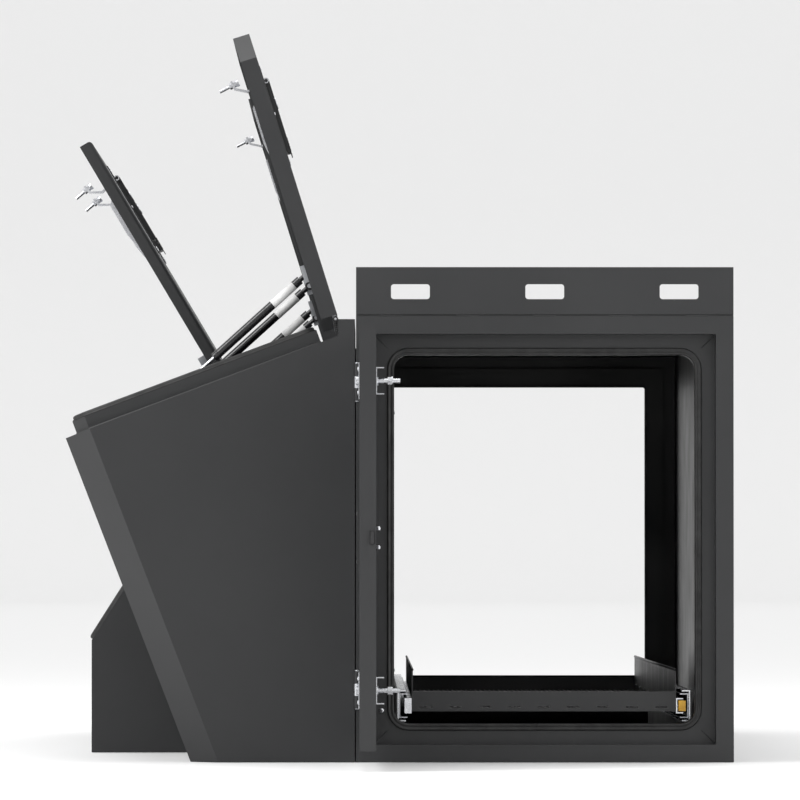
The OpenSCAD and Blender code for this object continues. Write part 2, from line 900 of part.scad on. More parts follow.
module door_swing() {
  translate([door_axis.x, door_axis.y, 0]) rotate([0, 0, -door_open])
    translate([-door_axis.x, -door_axis.y, 0]) children();
}

// Box of a door part: x and z ranges, and depths behind the near face.
module door_block(x, d, z) {
  block([x[0], -half_w + d[0], z[0]], [x[1], -half_w + d[1], z[1]]);
}

module hinge_bolt_holes(d0, d1) {
  for (z = hinge_z) {
    bar_y(hinge_bolt_x, z, hinge_bolt_r + 0.2, -half_w + d0, -half_w + d1);
  }
}

cup_x = [518, 588];
cup_half = 35;
cup_z = [door_mid_z - cup_half, door_mid_z + cup_half];
bolt_hole = 0.6;

// Hole that the door bolt slides through.
module bolt_slot(x0, x1) {
  door_block([x0, x1], [bolt_d[0] - bolt_hole, bolt_d[1] + bolt_hole],
             [door_mid_z - bolt_half - bolt_hole, door_mid_z + bolt_half + bolt_hole]);
}

skin_d = [-clearance, 25];
module door_skin_near() {
  color(black) door_swing() difference() {
    door_block(door_x, skin_d, door_z);
    door_block(door_x + [sheet, -sheet], [skin_d[0] + sheet, skin_d[1] + past], door_z + [sheet, -sheet]);
    hinge_bolt_holes(skin_d[0] - past, 5);
    door_block(cup_x + [-0.4, 0.4], [-past, 5], cup_z + [-0.4, 0.4]);
    bolt_slot(door_x[1] - 10, door_x[1] + past);
  }
}

module door_pan_near() {
  lip = [sheet + 0.2, -sheet - 0.2];
  color(black) door_swing() difference() {
    union() {
      door_block(door_x, [skin_d[1], door_t - clearance], door_z);
      door_block(door_x + lip, [skin_d[1] - 16, skin_d[1] + 0.5], door_z + lip);
    }
    door_block(door_x + 2 * lip, [skin_d[1] - 17, skin_d[1]], door_z + 2 * lip);
    hinge_bolt_holes(skin_d[1] - past, door_t + past);
    bolt_slot(door_x[1] - 10, door_x[1] + past);
  }
}

module fixed_door_leaf(z) {
  third = hinge_h / 3;
  gap = knuckle_gap / 2;
  difference() {
    union() {
      for (s = [-1, 1]) {
        translate([door_axis.x, door_axis.y, z + s * third - third / 2 + (s < 0 ? 0 : gap)])
          cylinder(r = door_knuckle_r, h = third - gap);
        block([-1.9, door_axis.y, z + s * third - third / 2 + (s < 0 ? 0 : gap)],
              [-0.1, -half_w + past, z + s * third + third / 2 - (s < 0 ? gap : 0)]);
      }
      block([-1.9, -half_w + 0.5, z - hinge_h / 2], [-0.1, -half_w + 38, z + hinge_h / 2]);
    }
    translate([door_axis.x, door_axis.y, z - hinge_h]) cylinder(r = door_pin_r + pin_fit, h = 2 * hinge_h);
  }
}

module door_hinge_fixed_leaves() {
  color(inner_black) for (z = hinge_z) {
    fixed_door_leaf(z);
    far_side() fixed_door_leaf(z);
  }
}

bracket_h = 46;
bracket_half = 12;
bracket_d = 14;
nut_off = 20;
bolt_proud = 41;

// Moving leaf, the channel behind the door and the bolt, nut and washers that clamp them.
module door_hinge(z) {
  third = hinge_h / 3;
  gap = knuckle_gap / 2;
  back = door_t - clearance;
  face = -clearance - sheet;
  difference() {
    union() {
      translate([door_axis.x, door_axis.y, z])
        cylinder(r = door_knuckle_r, h = third - 2 * gap, center = true);
      door_block([door_axis.x, 8], [face, -clearance], [z - third / 2 + gap, z + third / 2 - gap]);
      door_block([7.5, leaf_end], [face, -clearance], [z - hinge_h / 2, z + hinge_h / 2]);
    }
    translate([door_axis.x, door_axis.y, z - hinge_h]) cylinder(r = door_pin_r + pin_fit, h = 2 * hinge_h);
    bar_y(hinge_bolt_x, z, hinge_bolt_r + 0.2, -half_w - 10, -half_w + past);
  }
  difference() {
    door_block([hinge_bolt_x - bracket_half, hinge_bolt_x + bracket_half], [back, back + bracket_d],
               [z - bracket_h / 2, z + bracket_h / 2]);
    door_block([hinge_bolt_x - 20, hinge_bolt_x + 20], [back + sheet, back + bracket_d + past],
               [z - bracket_h / 2 + sheet, z + bracket_h / 2 - sheet]);
    bar_y(hinge_bolt_x, z, hinge_bolt_r + 0.2, -half_w, -half_w + 60);
  }
  bar_y(hinge_bolt_x, z, hinge_bolt_r, -half_w + face, -half_w + back + bolt_proud);
  bar_y(hinge_bolt_x, z, 7, -half_w + face - 4, -half_w + face);
  washer_y = -half_w + back + sheet;
  nut_y = -half_w + back + nut_off;
  difference() {
    union() {
      bar_y(hinge_bolt_x, z, 8, washer_y, washer_y + 2);
      bar_y(hinge_bolt_x, z, 7.5, nut_y + 6.5, nut_y + 8.5);
      translate([hinge_bolt_x, nut_y + 7, z]) rotate([90, 0, 0]) cylinder(r = 7.2, h = 7, $fn = 6);
    }
    bar_y(hinge_bolt_x, z, hinge_bolt_r + pin_fit, -half_w, -half_w + 80);
  }
}

module door_hinges_near() {
  color(zinc) door_swing() for (z = hinge_z) {
    door_hinge(z);
  }
}

screw_z = [-15.5, 15.5];
paddle_pivot = [576, 5];

// Cup of the door latch with its face plate and the tips of its two screws.
module door_latch_near() {
  color(inner_black) door_swing() {
    difference() {
      union() {
        door_block(cup_x + [-10, 8], [-3.3, -clearance], cup_z + [-10, 10]);
        door_block(cup_x, [-clearance - 1, 16], cup_z);
      }
      door_block(cup_x + [sheet, -sheet], [-5, 14], cup_z + [sheet, -sheet]);
      translate([paddle_pivot.x, -half_w + paddle_pivot.y, door_mid_z - 60])
        cylinder(r = latch_pin_r + pin_fit, h = 120);
    }
    for (z = screw_z) {
      bar_y(cup_x[0] - 6, door_mid_z + z, 3, -half_w + door_t - clearance, -half_w + door_t + 6);
    }
  }
}

paddle_half = 31;
paddle_d = [1, 4];

module door_paddle_near() {
  pin_half = paddle_half + 3.5;
  color(inner_black) door_swing() {
    door_block([cup_x[0] + 5, paddle_pivot.x], paddle_d,
               [door_mid_z - paddle_half, door_mid_z + paddle_half]);
    translate([paddle_pivot.x, -half_w + paddle_pivot.y, door_mid_z]) {
      cylinder(r = 4.4, h = 2 * paddle_half, center = true);
      cylinder(r = latch_pin_r, h = 2 * pin_half, center = true);
    }
  }
}

bolt_throw = 9;

module door_bolt_near() {
  color(inner_black) door_swing()
    door_block([540, door_x[1] - 0.5 + bolt_throw], bolt_d,
               [door_mid_z - bolt_half, door_mid_z + bolt_half]);
}

module door_skin_far() {
  far_side() door_skin_near();
}
module door_pan_far() {
  far_side() door_pan_near();
}
module door_hinges_far() {
  far_side() door_hinges_near();
}
module door_latch_far() {
  far_side() door_latch_near();
}
module door_paddle_far() {
  far_side() door_paddle_near();
}
module door_bolt_far() {
  far_side() door_bolt_near();
}

// ---------- Hinge pins ----------

module side_pin() {
  translate(side_axis) bar_y(0, 0, pin_r, side_hinge_y[0], side_hinge_y[1]);
}

module door_pins() {
  for (z = hinge_z) {
    translate([door_axis.x, door_axis.y, z - hinge_h / 2 - 1]) cylinder(r = door_pin_r, h = hinge_h + 2);
  }
}

module hinge_pins() {
  color(steel) {
    side_pin();
    far_side() side_pin();
    translate(mid_axis) bar_y(0, 0, pin_r, mid_hinge_y[0], mid_hinge_y[1]);
    door_pins();
    far_side() door_pins();
  }
}

// ---------- Drawer ----------

slide_z = 68;
tray_x = 95.2;
tray_z = 85;

// Channel along Y, open to +X when dir is 1 and to -X when it is -1; back is how far its near end
// stands behind the drawer's.
module channel(x0, x1, z0, z1, dir, back = 0) {
  t = 2;
  difference() {
    block([x0, drawer_y + back, z0], [x1, drawer_y + drawer_l, z1]);
    block([dir > 0 ? x0 + t : x0 - past, drawer_y - past, z0 + t],
          [dir > 0 ? x1 + past : x1 - t, drawer_y + drawer_l + past, z1 - t]);
  }
}

inner_z = [slide_z + 13.5, slide_z + slide_h - 13.5];
inner_x = [slide_x + 12, slide_x + 24];

module slide_outer_channels() {
  color(zinc) both_slides() channel(slide_x, slide_x + 14, slide_z, slide_z + slide_h, 1);
}
module slide_middle_members() {
  color(steel) both_slides()
    channel(slide_x + 2.5, slide_x + 17, slide_z + 5.5, slide_z + slide_h - 5.5, 1, 12);
}
module slide_inner_members() {
  color(zinc) {
    both_slides() channel(inner_x[0], inner_x[1], inner_z[0], inner_z[1], -1);
    block([inner_x[0], drawer_y, inner_z[0]], [inner_x[1], drawer_y + sheet, inner_z[1]]);
    bar_x(lever_pivot, lever_pin_r, tunnel_w - inner_x[1] + 1, lever_x + 5);
  }
}

tray_slots = 24;
lip_slots = 9;
slot_size = [6, 40];

module drawer_tray() {
  x1 = tunnel_w - tray_x;
  y1 = drawer_y + drawer_l;
  step = drawer_l / tray_slots;
  lip_step = (x1 - tray_x) / lip_slots;
  top = tray_z + drawer_h;
  color(inner_black) difference() {
    block([tray_x, drawer_y, tray_z], [x1, y1, top]);
    block([tray_x + sheet, drawer_y + sheet, tray_z + sheet], [x1 - sheet, y1 - sheet, top + past]);
    block([tray_x + sheet, drawer_y - past, tray_z + drawer_lip], [x1 - sheet, y1 + past, top + past]);
    for (i = [0 : tray_slots - 1]) {
      translate([tray_x - past, drawer_y + (i + 0.5) * step - slot_size.x / 2, top - slot_size.y - 8])
        cube([x1 - tray_x + 2 * past, slot_size.x, slot_size.y]);
    }
    for (i = [0 : lip_slots - 1]) {
      translate([tray_x + (i + 0.5) * lip_step - 10, drawer_y - past, tray_z + 6])
        cube([20, sheet + 2 * past, 3]);
    }
  }
}

lever_pivot = [drawer_y + 12, 94.5];
lever_x = tunnel_w - slide_x - 20;
lever_pin_r = 2;
lever_hub_r = 4;

// Round bar along X at a place [y, z].
module bar_x(place, r, x0, x1) {
  translate([x0, place.x, place.y]) rotate([0, 90, 0]) cylinder(r = r, h = x1 - x0);
}

// Release lever at the front of the right slide: a finger tab on an arm with a hub.
module slide_lock_lever() {
  half = 9;
  z = lever_pivot.y;
  color(yellow) difference() {
    union() {
      block([lever_x, drawer_y - 10, z - half], [lever_x + 12, drawer_y + 6, z + half]);
      block([lever_x, drawer_y, z - lever_hub_r], [lever_x + 4, lever_pivot.x, z + lever_hub_r]);
      bar_x(lever_pivot, lever_hub_r, lever_x, lever_x + 4);
    }
    block([lever_x + 4, drawer_y - 6, z - 5], [lever_x + 13, drawer_y + 7, z + 5]);
    bar_x(lever_pivot, lever_pin_r + pin_fit, lever_x - past, lever_x + 5);
  }
}

tunnel_shell();
end_frame_near();
end_frame_far();
door_seals();
rail_near();
rail_far();
side_box_near();
side_box_far();
middle_box();
lid_rim_near();
lid_rim_far();
lid_rim_middle();
lid_seals();
lid_hinge_fixed_leaves();
door_hinge_fixed_leaves();
hinge_pins();
strut_lower_brackets();
slide_outer_channels();
lid_skin_near();
lid_pan_near();
lid_hardware_near();
lid_latch_housing_near();
lid_skin_far();
lid_pan_far();
lid_hardware_far();
lid_latch_housing_far();
lid_skin_middle();
lid_pan_middle();
lid_hardware_middle();
lid_latch_housings_middle();
latch_handle_near();
latch_arm_near();
latch_handle_far();
latch_arm_far();
latch_handle_middle_a();
latch_arm_middle_a();
latch_handle_middle_b();
latch_arm_middle_b();
strut_tubes_near();
strut_rods_near();
strut_tubes_far();
strut_rods_far();
strut_tubes_middle();
strut_rods_middle();
door_skin_near();
door_pan_near();
door_hinges_near();
door_latch_near();
door_paddle_near();
door_bolt_near();
door_skin_far();
door_pan_far();
door_hinges_far();
door_latch_far();
door_paddle_far();
door_bolt_far();
drawer_tray();
slide_middle_members();
slide_inner_members();
slide_lock_lever();
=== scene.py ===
"""Truck tool box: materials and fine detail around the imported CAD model. Units are metres."""
import json
import math
import random

import bmesh
import bpy
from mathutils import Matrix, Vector


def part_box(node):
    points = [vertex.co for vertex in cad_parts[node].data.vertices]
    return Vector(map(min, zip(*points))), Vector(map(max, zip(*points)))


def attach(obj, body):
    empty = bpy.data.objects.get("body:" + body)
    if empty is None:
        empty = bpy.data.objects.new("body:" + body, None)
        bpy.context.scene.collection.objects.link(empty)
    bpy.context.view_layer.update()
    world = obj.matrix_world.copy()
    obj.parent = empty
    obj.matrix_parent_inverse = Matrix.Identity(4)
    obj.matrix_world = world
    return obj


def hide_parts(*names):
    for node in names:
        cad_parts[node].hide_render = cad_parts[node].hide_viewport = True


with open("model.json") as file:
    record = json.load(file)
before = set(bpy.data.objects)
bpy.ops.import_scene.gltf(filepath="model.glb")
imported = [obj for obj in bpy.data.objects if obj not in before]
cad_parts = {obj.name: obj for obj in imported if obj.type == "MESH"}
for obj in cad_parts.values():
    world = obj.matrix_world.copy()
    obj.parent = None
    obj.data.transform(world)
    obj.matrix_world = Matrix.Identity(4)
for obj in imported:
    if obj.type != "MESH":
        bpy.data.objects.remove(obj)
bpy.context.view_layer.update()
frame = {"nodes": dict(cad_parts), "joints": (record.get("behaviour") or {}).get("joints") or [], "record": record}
rng = random.Random(11)
MM = 0.001
NEAR, FAR = -1, 1


# ---------- Materials ----------

def shader(name, color, metallic, roughness):
    mat = bpy.data.materials.new(name)
    mat.use_nodes = True
    bsdf = mat.node_tree.nodes["Principled BSDF"]
    bsdf.inputs["Base Color"].default_value = (*color, 1.0)
    bsdf.inputs["Metallic"].default_value = metallic
    bsdf.inputs["Roughness"].default_value = roughness
    return mat, mat.node_tree.nodes, mat.node_tree.links, bsdf


def coords(nodes, links, scale=(1, 1, 1)):
    tex = nodes.new("ShaderNodeTexCoord")
    mapping = nodes.new("ShaderNodeMapping")
    mapping.inputs["Scale"].default_value = scale
    links.new(tex.outputs["Object"], mapping.inputs["Vector"])
    return mapping.outputs["Vector"]


def noise(nodes, links, vector, scale, detail=3.0, rough=0.5):
    n = nodes.new("ShaderNodeTexNoise")
    n.inputs["Scale"].default_value = scale
    n.inputs["Detail"].default_value = detail
    n.inputs["Roughness"].default_value = rough
    links.new(vector, n.inputs["Vector"])
    return n.outputs["Fac"]


def ramp(nodes, links, fac, stops):
    r = nodes.new("ShaderNodeValToRGB")
    r.color_ramp.elements[0].position = stops[0][0]
    r.color_ramp.elements[0].color = (*stops[0][1], 1.0)
    r.color_ramp.elements[1].position = stops[-1][0]
    r.color_ramp.elements[1].color = (*stops[-1][1], 1.0)
    for place, color in stops[1:-1]:
        e = r.color_ramp.elements.new(place)
        e.color = (*color, 1.0)
    links.new(fac, r.inputs["Fac"])
    return r.outputs["Color"]


def span(nodes, links, fac, low, high):
    m = nodes.new("ShaderNodeMapRange")
    m.inputs["From Min"].default_value = 0.3
    m.inputs["From Max"].default_value = 0.7
    m.inputs["To Min"].default_value = low
    m.inputs["To Max"].default_value = high
    links.new(fac, m.inputs["Value"])
    return m.outputs["Result"]


def bump(nodes, links, bsdf, height, strength, distance):
    b = nodes.new("ShaderNodeBump")
    b.inputs["Strength"].default_value = strength
    b.inputs["Distance"].default_value = distance
    links.new(height, b.inputs["Height"])
    links.new(b.outputs["Normal"], bsdf.inputs["Normal"])


def powder_coat(name, dark, light, rough_low, rough_high, peel=0.35):
    """Satin powder coat: orange-peel bump, faint clouding, and dust-soft roughness changes."""
    mat, nodes, links, bsdf = shader(name, dark, 0.0, rough_low)
    vector = coords(nodes, links)
    cloud = noise(nodes, links, vector, 2.2, 4.0, 0.6)
    links.new(ramp(nodes, links, cloud, [(0.3, dark), (0.7, light)]), bsdf.inputs["Base Color"])
    links.new(span(nodes, links, noise(nodes, links, vector, 9.0, 5.0), rough_low, rough_high),
              bsdf.inputs["Roughness"])
    bump(nodes, links, bsdf, noise(nodes, links, vector, 520.0, 2.0, 0.4), peel, 0.00025)
    return mat


def plated(name, dark, light, rough_low, rough_high, stretch):
    """Zinc plate or plain steel with fine drawn lines along one axis."""
    mat, nodes, links, bsdf = shader(name, light, 1.0, rough_low)
    vector = coords(nodes, links, stretch)
    lines = noise(nodes, links, vector, 160.0, 6.0, 0.65)
    patch = noise(nodes, links, coords(nodes, links), 34.0, 3.0)
    links.new(ramp(nodes, links, patch, [(0.3, dark), (0.7, light)]), bsdf.inputs["Base Color"])
    links.new(span(nodes, links, lines, rough_low, rough_high), bsdf.inputs["Roughness"])
    bump(nodes, links, bsdf, lines, 0.18, 0.0001)
    return mat


def sponge(name, dark, light):
    """Closed-cell rubber with a matt skin."""
    mat, nodes, links, bsdf = shader(name, dark, 0.0, 0.62)
    vector = coords(nodes, links)
    links.new(ramp(nodes, links, noise(nodes, links, vector, 60.0), [(0.35, dark), (0.7, light)]),
              bsdf.inputs["Base Color"])
    links.new(span(nodes, links, noise(nodes, links, vector, 25.0), 0.5, 0.72), bsdf.inputs["Roughness"])
    bump(nodes, links, bsdf, noise(nodes, links, vector, 1400.0, 2.0), 0.3, 0.0002)
    return mat


def plastic(name, dark, light, rough):
    mat, nodes, links, bsdf = shader(name, light, 0.0, rough)
    vector = coords(nodes, links)
    links.new(ramp(nodes, links, noise(nodes, links, vector, 40.0), [(0.3, dark), (0.7, light)]),
              bsdf.inputs["Base Color"])
    links.new(span(nodes, links, noise(nodes, links, vector, 90.0), rough - 0.06, rough + 0.08),
              bsdf.inputs["Roughness"])
    bump(nodes, links, bsdf, noise(nodes, links, vector, 900.0), 0.15, 0.0001)
    return mat


MATS = {
    "powder_black": powder_coat("powder_black", (0.012, 0.0125, 0.0135), (0.019, 0.0195, 0.0205), 0.36, 0.46),
    "cast_black": powder_coat("cast_black", (0.010, 0.010, 0.011), (0.018, 0.018, 0.019), 0.38, 0.52, 0.7),
    "strut_black": plastic("strut_black", (0.006, 0.006, 0.007), (0.012, 0.012, 0.013), 0.24),
    "zinc": plated("zinc", (0.56, 0.57, 0.60), (0.78, 0.79, 0.81), 0.20, 0.36, (1, 0.06, 1)),
    "steel": plated("steel", (0.34, 0.35, 0.37), (0.52, 0.53, 0.55), 0.28, 0.46, (1, 0.06, 1)),
    "rubber": sponge("rubber", (0.008, 0.008, 0.008), (0.020, 0.020, 0.020)),
    "yellow_plastic": plastic("yellow_plastic", (0.72, 0.36, 0.02), (0.95, 0.55, 0.05), 0.42),
    "label": plastic("label", (0.62, 0.62, 0.62), (0.80, 0.80, 0.79), 0.45),
    "mat_rubber": sponge("mat_rubber", (0.010, 0.010, 0.011), (0.026, 0.026, 0.027)),
}
SLOT_OF = {s["node"]: s["material_slot"] for s in frame["record"]["subparts"]}
SMOOTH = math.radians(35)


def finish_node(node, obj):
    """Gives a CAD node its finish, and soft edges where the sheet is folded or cut."""
    obj.data.materials.clear()
    obj.data.materials.append(MATS[SLOT_OF[node]])
    wide = {"powder_black": 1.1, "cast_black": 0.8}.get(SLOT_OF[node], 0.4) * MM
    if node.startswith("drawer") or node.startswith("slide"):
        wide = 0.4 * MM
    mod = obj.modifiers.new("edge", "BEVEL")
    mod.width = wide
    mod.segments = 2
    mod.limit_method = "ANGLE"
    mod.angle_limit = SMOOTH
    mod.use_clamp_overlap = True
    mod.harden_normals = True
    for poly in obj.data.polygons:
        poly.use_smooth = True


# ---------- Mesh helpers ----------

def piece(name, bm, mat, body, smooth=True):
    bmesh.ops.remove_doubles(bm, verts=bm.verts, dist=1e-7)
    bmesh.ops.recalc_face_normals(bm, faces=bm.faces)
    mesh = bpy.data.meshes.new(name)
    bm.to_mesh(mesh)
    bm.free()
    for poly in mesh.polygons:
        poly.use_smooth = smooth
    obj = bpy.data.objects.new(name, mesh)
    bpy.context.scene.collection.objects.link(obj)
    mesh.materials.append(MATS[mat])
    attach(obj, body)
    return obj


def sweep(bm, rings, closed=True, caps=False):
    """Joins rings of points, each the same length, into a skin."""
    rows = [[bm.verts.new(p) for p in ring] for ring in rings]
    n = len(rows[0])
    count = len(rows) if closed else len(rows) - 1
    for i in range(count):
        a, b = rows[i], rows[(i + 1) % len(rows)]
        for j in range(n):
            bm.faces.new((a[j], a[(j + 1) % n], b[(j + 1) % n], b[j]))
    if caps:
        bm.faces.new(rows[0])
        bm.faces.new(list(reversed(rows[-1])))


def axes_for(axis):
    w = Vector(axis).normalized()
    u = w.orthogonal().normalized()
    return u, w.cross(u), w


def lathe(bm, centre, axis, profile, sides=24):
    """Turns (radius, height) points about an axis through centre; closed at both ends."""
    u, v, w = axes_for(axis)
    rings = []
    for r, h in profile:
        ring = []
        for k in range(sides):
            t = 2 * math.pi * k / sides
            ring.append(centre + w * h + (u * math.cos(t) + v * math.sin(t)) * r)
        rings.append(ring)
    sweep(bm, rings, closed=False, caps=True)


def in_mm(*profile):
    """A lathe's profile given in millimetres."""
    return [(r * MM, h * MM) for r, h in profile]


def screw_head(bm, centre, axis, r=0.005, h=0.003):
    """Button head with a flange and a hexagon socket."""
    u, v, w = axes_for(axis)
    dome = [(r * 1.25, 0.0), (r * 1.25, h * 0.22), (r, h * 0.30), (r * 0.96, h * 0.55), (r * 0.8, h * 0.85),
            (r * 0.52, h)]
    lathe(bm, centre, axis, dome)
    ring_top, ring_low = [], []
    for k in range(6):
        t = 2 * math.pi * k / 6
        d = (u * math.cos(t) + v * math.sin(t)) * r * 0.46
        ring_top.append(centre + w * h * 1.001 + d)
        ring_low.append(centre + w * h * 0.9 + d * 0.75)
    sweep(bm, [ring_top, ring_low], closed=False, caps=True)


def weld(bm, start, end, out, r=0.003, pitch=0.0028):
    """Weld bead between two points: a row of overlapping scales that bulge towards out."""
    start, end = Vector(start), Vector(end)
    along = (end - start)
    length = along.length
    along.normalize()
    out = Vector(out).normalized()
    side = along.cross(out)
    steps = max(2, int(length / pitch)) * 4
    rings = []
    for i in range(steps + 1):
        t = i / steps
        scale = 0.82 + 0.18 * abs(math.sin(math.pi * i / 4)) + 0.05 * (rng.random() - 0.5)
        if i in (0, steps):
            scale = 0.25
        elif i in (1, steps - 1):
            scale = 0.7
        centre = start + along * length * t
        ring = []
        for k in range(8):
            a = 2 * math.pi * k / 8
            ring.append(centre + (side * math.cos(a) + out * math.sin(a) * 0.8) * r * scale)
        rings.append(ring)
    sweep(bm, rings, closed=False, caps=True)


def rounded_loop(x0, z0, x1, z1, r, steps=8):
    """Points of a rounded rectangle in (x, z), with the outward direction at each."""
    out = []
    corners = [(x1 - r, z1 - r, 0), (x0 + r, z1 - r, 90), (x0 + r, z0 + r, 180), (x1 - r, z0 + r, 270)]
    for cx, cz, a0 in corners:
        for k in range(steps + 1):
            a = math.radians(a0 + 90 * k / steps)
            d = (math.cos(a), math.sin(a))
            out.append((cx + r * d[0], cz + r * d[1], d))
    return out


# ---------- CAD nodes ----------

for node_name, node_obj in frame["nodes"].items():
    finish_node(node_name, node_obj)


# ---------- Places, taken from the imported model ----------

shell_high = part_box("tunnel_shell")[1]
frame_low, frame_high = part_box("end_frame_near")
tray_low, tray_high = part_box("drawer_tray")
rail_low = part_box("rail_near")[0]
JOINTS = {j["name"]: j for j in frame["joints"]}
NEAR_FACE = frame_low.y
TUNNEL_W, TUNNEL_H = frame_high.x, frame_high.z
CLEAR_INSET = 65 * MM
CLEAR_R = {NEAR: 25 * MM, FAR: 4 * MM}
RECESS = 33 * MM
STRIP = 30 * MM
SEAL_W = 12 * MM
HINGE_Z = (123.2 * MM, 645.6 * MM)


class LidFrame:
    """Frame of a lid or its rim: hinge axis at the origin, the lid towards -X, outwards is +Z."""

    def __init__(self, joint, degrees, side=1):
        self.axis = Vector(JOINTS[joint]["pos_m"])
        self.a = math.radians(degrees)
        self.side = side

    def turn(self, v):
        c, s = math.cos(self.a), math.sin(self.a)
        return Vector((v[0] * c + v[2] * s, v[1] * self.side, -v[0] * s + v[2] * c))

    def at(self, x, y, z):
        p = self.turn((x, y, z))
        return Vector((p.x + self.axis.x, p.y, p.z + self.axis.z))


SIDE_SLOPE, MID_SLOPE = 20.5, 57.5
SIDE_OPEN, MID_OPEN = 72.6, 59.2
SIDE_L, MID_L, CORNER = 510 * MM, 538 * MM, 45 * MM
RIM_REACH = 9 * MM
EDGE = 3 * MM
GAP_Y = 512 * MM
SIDE_Y0, SIDE_Y1 = NEAR_FACE + EDGE, -GAP_Y - EDGE
MID_HALF = GAP_Y - 6.5 * MM


def side_outline(more=0.0):
    end = -SIDE_L - more
    return [(0, SIDE_Y0), (0, SIDE_Y1), (end, SIDE_Y1), (end, SIDE_Y0 + CORNER), (end + CORNER, SIDE_Y0)]


def middle_outline(more=0.0):
    end = -MID_L - more
    return [(0, -MID_HALF), (0, MID_HALF), (end, MID_HALF), (end, -MID_HALF)]


# Each lid's frame where it stands open at rest, the frame of its rim, and its outline.
LIDS = {
    "near": (LidFrame("lid_near_hinge", SIDE_OPEN),
             LidFrame("lid_near_hinge", -SIDE_SLOPE), side_outline),
    "far": (LidFrame("lid_far_hinge", SIDE_OPEN, -1),
            LidFrame("lid_far_hinge", -SIDE_SLOPE, -1), side_outline),
    "middle": (LidFrame("lid_middle_hinge", MID_OPEN),
               LidFrame("lid_middle_hinge", -MID_SLOPE), middle_outline),
}
RIM_INSET, RIM_TOP, DECK = 37 * MM, -5.5 * MM, -29.1 * MM


def inset_loop(points, d, r, steps=5):
    """Outline moved inwards by d with rounded corners; gives each point and its outward direction."""
    pts = [Vector(p) for p in points]
    n = len(pts)
    moved = []
    for i in range(n):
        e1 = (pts[i] - pts[i - 1]).normalized()
        e2 = (pts[(i + 1) % n] - pts[i]).normalized()
        n1, n2 = Vector((-e1.y, e1.x)), Vector((-e2.y, e2.x))
        moved.append((pts[i] + (n1 + n2) * (d / (1 + n1.dot(n2))), e1, e2))
    out = []
    for p, e1, e2 in moved:
        turn = e1.angle(e2)
        reach = r * math.tan(turn / 2)
        start, end = p - e1 * reach, p + e2 * reach
        for k in range(steps + 1):
            t = k / steps
            q = start * (1 - t) ** 2 + p * 2 * t * (1 - t) + end * t * t
            e = e1.lerp(e2, t).normalized()
            out.append((q, Vector((e.y, -e.x))))
    return out


def near_to_side(p, side):
    return Vector((p[0], p[1] if side == NEAR else -p[1], p[2]))


def door_place(x, d, z, side):
    """Place on an open door: x from the hinge edge and depth d of the closed door."""
    axis = Vector(JOINTS["door_near_hinge"]["pos_m"])
    dx, dy = x - axis.x, NEAR_FACE + d - axis.y
    return near_to_side((axis.x + dy, axis.y - dx, z), side)


# ---------- Seals ----------

def door_seal_loops():
    """Two-lobed rubber round each clear opening, with its ends butted at the middle of the sill."""
    lobes = [(-6, 0), (-6, 2), (-5.3, 4.4), (-3.6, 5.4), (-1.6, 4.6), (0, 3.1),
             (1.6, 4.6), (3.6, 5.4), (5.3, 4.4), (6, 2), (6, 0)]
    butt_x = TUNNEL_W / 2 - 12 * MM
    bm = bmesh.new()
    mid = CLEAR_INSET - SEAL_W / 2
    base = NEAR_FACE + RECESS
    for side in (NEAR, FAR):
        loop = rounded_loop(mid, mid, TUNNEL_W - mid, TUNNEL_H - mid, CLEAR_R[side] + SEAL_W / 2, 10)
        rings = []
        for x, z, d in loop:
            rings.append([near_to_side((x + d[0] * p * MM, base - q * MM, z + d[1] * p * MM), side)
                          for p, q in lobes])
        sweep(bm, rings)
        rings = []
        for x in (-1.6, -1.2, 1.2, 1.6):
            grow = 1.05 if abs(x) < 1.5 else 0.98
            rings.append([near_to_side((butt_x + x * MM, base - q * grow * MM, mid - p * grow * MM), side)
                          for p, q in lobes])
        sweep(bm, rings, closed=False, caps=True)
    obj = piece("door_seal_loops", bm, "rubber", "box")
    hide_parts("door_seals")


def lid_seal_loops():
    """Hollow-bulb rubber clipped along the top of each lid rim."""
    bulb = [(-6, 0), (-6, 1.6), (-4.2, 2.1), (-4.4, 4.4), (-3.2, 6.8), (0, 8.0),
            (3.2, 6.8), (4.4, 4.4), (4.2, 2.1), (6, 1.6), (6, 0)]
    bm = bmesh.new()
    for _, closed, outline in LIDS.values():
        rings = []
        for p, out in inset_loop(outline(RIM_REACH), RIM_INSET + 1 * MM + SEAL_W / 2, 16 * MM):
            rings.append([closed.at(p.x + out.x * a * MM, p.y + out.y * a * MM, RIM_TOP + b * MM)
                          for a, b in bulb])
        sweep(bm, rings)
    obj = piece("lid_seal_loops", bm, "rubber", "box")
    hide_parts("lid_seals")


def rim_sealer():
    """Painted bead of seam sealer where each rim stands on its deck."""
    bm = bmesh.new()
    for _, closed, outline in LIDS.values():
        rings = []
        for p, out in inset_loop(outline(RIM_REACH), RIM_INSET, 2 * MM, 3):
            profile = [(0, 0), (2.6, 0), (2.2, 0.7), (0.9, 1.8), (0.4, 3.0), (0, 3.2)]
            rings.append([closed.at(p.x + out.x * a * MM, p.y + out.y * a * MM, DECK + b * MM)
                          for a, b in profile])
        sweep(bm, rings)
    piece("rim_sealer_beads", bm, "powder_black", "box")


# ---------- Welds ----------

STITCH_X = (60, 190, 320, 450, 580)
RAIL_FOOT = 45 * MM


